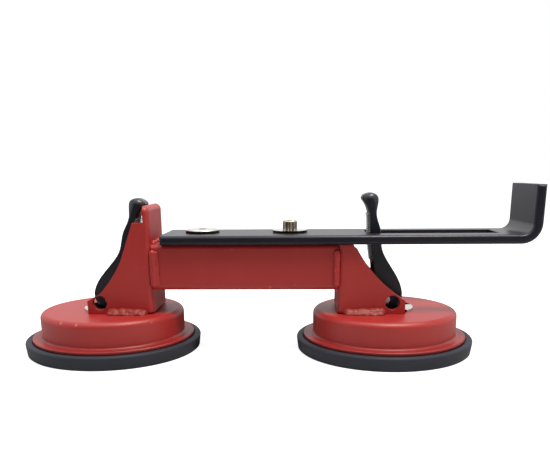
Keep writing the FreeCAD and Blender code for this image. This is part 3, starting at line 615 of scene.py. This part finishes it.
def black_enamel():
    """Black enamel on hot-rolled steel: satin, with the faint unevenness of the rolled face."""
    material, tree, place = new_finish("black_enamel")
    cloud = add_node(tree, "ShaderNodeTexNoise", {
        "Vector": place, "Scale": 1 / PAINT_PATCH, "Detail": 4.0})
    colour = add_node(tree, "ShaderNodeMix", {
        0: cloud.outputs["Fac"], 6: linear(PAINT_BLACK), 7: linear(PAINT_SHEEN)}, data_type="RGBA")
    peel = add_node(tree, "ShaderNodeTexNoise", {
        "Vector": place, "Scale": 1 / PAINT_PEEL, "Detail": 3.0})
    bump = add_node(tree, "ShaderNodeBump", {
        "Height": peel.outputs["Fac"], "Strength": 0.2, "Distance": 0.0002})
    shader = add_node(tree, "ShaderNodeBsdfPrincipled", {
        "Base Color": colour.outputs[2], "Roughness": 0.34, "Normal": bump.outputs[0], "IOR": 1.5,
        "Specular IOR Level": 0.38})
    add_node(tree, "ShaderNodeOutputMaterial", {"Surface": shader.outputs[0]})
    return material


finish_node("pull_bar", black_enamel())


# ---- screws, washer and nuts ----
# A cap screw with a knurled head stands on a penny washer, and the other screw has a wide low head.
# They are bright zinc. Their nuts are inside the crossbar.
ZINC_YELLOW = "#b3a280"
ZINC_BRIGHT = "#d8d2c6"
PRESSED_DULL = "#cfccc2"
PRESSED_BRIGHT = "#e2e1dc"
RIM_SHADE_DARK = "#26241f"
BRIGHT_PATCH = 0.003

KNURLS = 10
KNURL_STEPS = 12
KNURL_DEPTH = 0.0004
HEAD_CHAMFER = 0.0006
SOCKET_RADIUS = 0.0029
SOCKET_DEPTH = 0.003
SHANK_RADIUS = 0.00297
SHANK_IN_HEAD = 0.001
SHANK_STEPS = 48
SHARP_EDGE = 35


def bright_zinc():
    """Bright zinc on turned steel: a mirror with a slight yellow cast."""
    material, tree, place = new_finish("bright_zinc")
    cloud = add_node(tree, "ShaderNodeTexNoise", {
        "Vector": place, "Scale": 1 / BRIGHT_PATCH, "Detail": 2.0})
    colour = add_node(tree, "ShaderNodeMix", {
        0: cloud.outputs["Fac"], 6: linear(ZINC_YELLOW), 7: linear(ZINC_BRIGHT)}, data_type="RGBA")
    rough = add_node(tree, "ShaderNodeMapRange", {
        "Value": cloud.outputs["Fac"], "To Min": 0.14, "To Max": 0.26})
    shader = add_node(tree, "ShaderNodeBsdfPrincipled", {
        "Base Color": colour.outputs[2], "Metallic": 1.0, "Roughness": rough.outputs[0]})
    add_node(tree, "ShaderNodeOutputMaterial", {"Surface": shader.outputs[0]})
    return material


def punched_zinc():
    """Zinc-plated pressings: bright on the faces that look up, and rough round the sheared rim,
    where painted shade darkens every face that doesn't look up.
    """
    material, tree, place = new_finish("punched_zinc")
    facing = add_node(tree, "ShaderNodeTexCoord")
    upward = add_node(tree, "ShaderNodeSeparateXYZ", {0: facing.outputs["Normal"]})
    flat = add_node(tree, "ShaderNodeMapRange", {
        "Value": upward.outputs["Z"], "From Min": 0.3, "From Max": 0.7})
    cloud = add_node(tree, "ShaderNodeTexNoise", {
        "Vector": place, "Scale": 1 / BRIGHT_PATCH, "Detail": 2.0})
    face = add_node(tree, "ShaderNodeMix", {
        0: cloud.outputs["Fac"], 6: linear(PRESSED_DULL), 7: linear(PRESSED_BRIGHT)},
        data_type="RGBA")
    # Painted shade: faces that don't look up turn near black.
    colour = add_node(tree, "ShaderNodeMix", {
        0: flat.outputs[0], 6: linear(RIM_SHADE_DARK), 7: face.outputs[2]}, data_type="RGBA")
    rough = add_node(tree, "ShaderNodeMapRange", {
        "Value": flat.outputs[0], "To Min": 0.5, "To Max": 0.2})
    shader = add_node(tree, "ShaderNodeBsdfPrincipled", {
        "Base Color": colour.outputs[2], "Metallic": 1.0, "Roughness": rough.outputs[0]})
    add_node(tree, "ShaderNodeOutputMaterial", {"Surface": shader.outputs[0]})
    return material


def hexagon_reach(spoke):
    """How far the socket's wall lies from its axis along a spoke."""
    turn = math.atan2(spoke.y, spoke.x) % math.radians(60) - math.radians(30)
    return SOCKET_RADIUS * math.cos(math.radians(30)) / math.cos(turn)


low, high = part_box("cap_screw")
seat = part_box("penny_washer")[1].z
axis = (low + high) / 2
shape = bmesh.new()
bmesh.ops.create_circle(shape, segments=KNURLS * KNURL_STEPS, radius=(high.x - low.x) / 2,
                        cap_ends=True, matrix=Matrix.Translation((axis.x, axis.y, seat)))
for vert in shape.verts:
    spoke = vert.co - Vector((axis.x, axis.y, seat))
    wave = 0.5 + 0.5 * math.cos(KNURLS * math.atan2(spoke.y, spoke.x))
    vert.co -= spoke.normalized() * KNURL_DEPTH * wave
raised = bmesh.ops.extrude_face_region(shape, geom=shape.faces[:])["geom"]
lifted = [item for item in raised if isinstance(item, bmesh.types.BMVert)]
bmesh.ops.translate(shape, verts=lifted, vec=(0, 0, high.z - seat - HEAD_CHAMFER))
top = next(item for item in raised if isinstance(item, bmesh.types.BMFace))
# Above the knurled side come the chamfer, the flat round the socket, and the socket itself.
for rise, reach in ((HEAD_CHAMFER, lambda spoke: spoke.length - HEAD_CHAMFER),
                    (0.0, hexagon_reach),
                    (-SOCKET_DEPTH, lambda spoke: spoke.length)):
    grown = bmesh.ops.extrude_face_region(shape, geom=[top])["geom"]
    bmesh.ops.delete(shape, geom=[top], context="FACES_ONLY")
    top = next(item for item in grown if isinstance(item, bmesh.types.BMFace))
    for vert in top.verts:
        spoke = Vector((vert.co.x - axis.x, vert.co.y - axis.y, 0))
        vert.co = Vector((axis.x, axis.y, vert.co.z + rise)) + spoke.normalized() * reach(spoke)
shank_middle = Vector((axis.x, axis.y, (seat + SHANK_IN_HEAD + low.z) / 2))
bmesh.ops.create_cone(shape, cap_ends=True, segments=SHANK_STEPS, radius1=SHANK_RADIUS,
                      radius2=SHANK_RADIUS, depth=seat - low.z + SHANK_IN_HEAD,
                      matrix=Matrix.Translation(shank_middle))
screw = add_piece("knurled_cap_screw", to_mesh("knurled_cap_screw", shape), "frame",
                  bright_zinc())
screw.data.set_sharp_from_angle(angle=math.radians(SHARP_EDGE))
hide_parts("cap_screw")
punched = punched_zinc()
finish_node("penny_washer", punched)
finish_node("low_head_screw", punched)
finish_node("cap_screw_nut", zinc)
finish_node("low_head_nut", zinc)


# ---- floor, light and camera ----
# A plain white floor lies under soft studio light: a broad overhead panel, a warm key panel and a
# pale surround. A black card in front and black places on the floor, all unseen by the camera, keep
# the upright faces from washing out.
FLOOR_WHITE = "#ececec"
FLOCK_BLACK = "#0a0a0a"
FLOOR_SIZE = 6.0
FLOOR_DROP = 0.0001
FLOOR_LIFT = 0.8
FLOOR_DIMMED = 0.38
STRIP_Y = (-0.45, 0.17)           # the black strip in front: its middle and half its width
STRIP_END_X = 0.13
PATCH_X = (0.0, 0.07)             # the black patch between the cups: its middle and half its width
PATCH_Y = (0.11, 0.12)
SURROUND_LEVEL = 0.42
CARD_PLACE = (0.0, -0.62, 0.215)
CARD_SIZE = 0.5
CARD_SHARES = (1.6, 0.37, 1, 1)


def white_floor():
    """Matt white board. What the camera sees of it is lifted to white and its shadows stay, and
    reflections see it a little dimmed. The black strip and patch show only in reflections and in
    bounced light."""
    material, tree, place = new_finish("white_floor")
    path = add_node(tree, "ShaderNodeLightPath")
    across = add_node(tree, "ShaderNodeSeparateXYZ", {0: place})
    ahead = add_node(tree, "ShaderNodeMath", {
        0: across.outputs["Y"], 1: STRIP_Y[0], 2: STRIP_Y[1]}, operation="COMPARE")
    leftward = add_node(tree, "ShaderNodeMath", {
        0: across.outputs["X"], 1: STRIP_END_X}, operation="LESS_THAN")
    strip = add_node(tree, "ShaderNodeMath", {
        0: ahead.outputs[0], 1: leftward.outputs[0]}, operation="MULTIPLY")
    between = add_node(tree, "ShaderNodeMath", {
        0: across.outputs["X"], 1: PATCH_X[0], 2: PATCH_X[1]}, operation="COMPARE")
    under = add_node(tree, "ShaderNodeMath", {
        0: across.outputs["Y"], 1: PATCH_Y[0], 2: PATCH_Y[1]}, operation="COMPARE")
    patch = add_node(tree, "ShaderNodeMath", {
        0: between.outputs[0], 1: under.outputs[0]}, operation="MULTIPLY")
    places = add_node(tree, "ShaderNodeMath", {
        0: strip.outputs[0], 1: patch.outputs[0]}, operation="MAXIMUM")
    unseen = add_node(tree, "ShaderNodeMath", {
        0: 1.0, 1: path.outputs["Is Camera Ray"]}, operation="SUBTRACT")
    blackened = add_node(tree, "ShaderNodeMath", {
        0: places.outputs[0], 1: unseen.outputs[0]}, operation="MULTIPLY")
    dimmed = add_node(tree, "ShaderNodeMath", {
        0: path.outputs["Is Glossy Ray"], 1: FLOOR_DIMMED}, operation="MULTIPLY")
    black = add_node(tree, "ShaderNodeMath", {
        0: blackened.outputs[0], 1: dimmed.outputs[0]}, operation="MAXIMUM")
    seen = add_node(tree, "ShaderNodeMath", {
        0: path.outputs["Is Camera Ray"], 1: FLOOR_LIFT}, operation="MULTIPLY")
    board = add_node(tree, "ShaderNodeBsdfDiffuse", {"Color": linear(FLOOR_WHITE)})
    lift = add_node(tree, "ShaderNodeEmission", {
        "Color": (1, 1, 1, 1), "Strength": seen.outputs[0]})
    both = add_node(tree, "ShaderNodeAddShader", {0: board.outputs[0], 1: lift.outputs[0]})
    flock = add_node(tree, "ShaderNodeBsdfDiffuse", {"Color": linear(FLOCK_BLACK)})
    mixed = add_node(tree, "ShaderNodeMixShader", {
        0: black.outputs[0], 1: both.outputs[0], 2: flock.outputs[0]})
    add_node(tree, "ShaderNodeOutputMaterial", {"Surface": mixed.outputs[0]})
    return material


def flocked_card():
    """Black flocked card: it keeps stray reflections off the lifter's front, and the camera doesn't
    see it."""
    material, tree, _ = new_finish("flocked_card")
    path = add_node(tree, "ShaderNodeLightPath")
    nap = add_node(tree, "ShaderNodeBsdfDiffuse", {"Color": linear(FLOCK_BLACK)})
    clear = add_node(tree, "ShaderNodeBsdfTransparent")
    mixed = add_node(tree, "ShaderNodeMixShader", {
        0: path.outputs["Is Camera Ray"], 1: nap.outputs[0], 2: clear.outputs[0]})
    add_node(tree, "ShaderNodeOutputMaterial", {"Surface": mixed.outputs[0]})
    return material


def add_sheet(name, size, place, finish):
    """A flat sheet of the studio, which isn't part of the lifter."""
    shape = bmesh.new()
    bmesh.ops.create_grid(shape, x_segments=1, y_segments=1, size=size, matrix=place)
    sheet = bpy.data.objects.new(name, to_mesh(name, shape, smooth=False))
    bpy.context.scene.collection.objects.link(sheet)
    sheet.data.materials.append(finish)


def add_panel(name, place, aim, width, depth, power, tint):
    """A soft rectangular light that faces a point."""
    lamp = bpy.data.lights.new(name, "AREA")
    lamp.shape = "RECTANGLE"
    lamp.size = width
    lamp.size_y = depth
    lamp.energy = power
    lamp.color = tint
    panel = bpy.data.objects.new(name, lamp)
    bpy.context.scene.collection.objects.link(panel)
    panel.location = place
    panel.rotation_euler = (Vector(aim) - Vector(place)).to_track_quat("-Z", "Y").to_euler()


add_sheet("floor", FLOOR_SIZE, Matrix.Translation((0, 0, -FLOOR_DROP)), white_floor())
standing = Matrix.Translation(CARD_PLACE) @ Matrix.Rotation(math.radians(90), 4, "X")
add_sheet("front_card", CARD_SIZE, standing @ Matrix.Diagonal(CARD_SHARES), flocked_card())
add_panel("overhead_panel", place=(0.0, 0.0, 0.9), aim=(0.0, 0.0, 0.0), width=1.2, depth=0.9,
          power=3.6, tint=(1.0, 1.0, 1.0))
add_panel("key_panel", place=(0.25, -0.25, 0.97), aim=(0.0, 0.0, 0.03), width=0.4, depth=0.22,
          power=7.5, tint=(1.0, 0.9, 0.78))

# The surround lights everything softly, and is white where it is seen directly or in a reflection.
world = bpy.data.worlds.new("studio")
bpy.context.scene.world = world
world.use_nodes = True
surround = world.node_tree
surround.nodes.clear()
path = add_node(surround, "ShaderNodeLightPath")
seen = add_node(surround, "ShaderNodeMath", {
    0: path.outputs["Is Camera Ray"], 1: path.outputs["Is Glossy Ray"]}, operation="MAXIMUM")
seen = add_node(surround, "ShaderNodeMath", {
    0: seen.outputs[0], 1: path.outputs["Is Transmission Ray"]}, operation="MAXIMUM")
level = add_node(surround, "ShaderNodeMapRange", {
    "Value": seen.outputs[0], "To Min": SURROUND_LEVEL, "To Max": 1.0})
sky = add_node(surround, "ShaderNodeBackground", {
    "Color": (1, 1, 1, 1), "Strength": level.outputs[0]})
add_node(surround, "ShaderNodeOutputWorld", {"Surface": sky.outputs[0]})

# The camera stands 0.43 m in front, a little above the bar, and looks 15 degrees down.
EYE = Vector((0.01739, -0.42693, 0.11915))
YAW, PITCH, ROLL = -0.0366, 0.2616, -0.0083
LENS_LENGTH = 41.07
LENS_SHIFT = 0.2027
NEAR_CLIP = 0.01
forward = Vector((math.sin(YAW) * math.cos(PITCH), math.cos(YAW) * math.cos(PITCH),
                  -math.sin(PITCH)))
level_right = Vector((math.cos(YAW), -math.sin(YAW), 0.0))
right = Matrix.Rotation(-ROLL, 3, forward) @ level_right
upward = right.cross(forward)
turn = Matrix((right, upward, -forward)).transposed()
lens = bpy.data.cameras.new("camera")
lens.lens = LENS_LENGTH
lens.shift_y = LENS_SHIFT
lens.clip_start = NEAR_CLIP
camera = bpy.data.objects.new("camera", lens)
bpy.context.scene.collection.objects.link(camera)
camera.matrix_world = Matrix.Translation(EYE) @ turn.to_4x4()
bpy.context.scene.camera = camera
bpy.context.scene.view_settings.view_transform = "Standard"
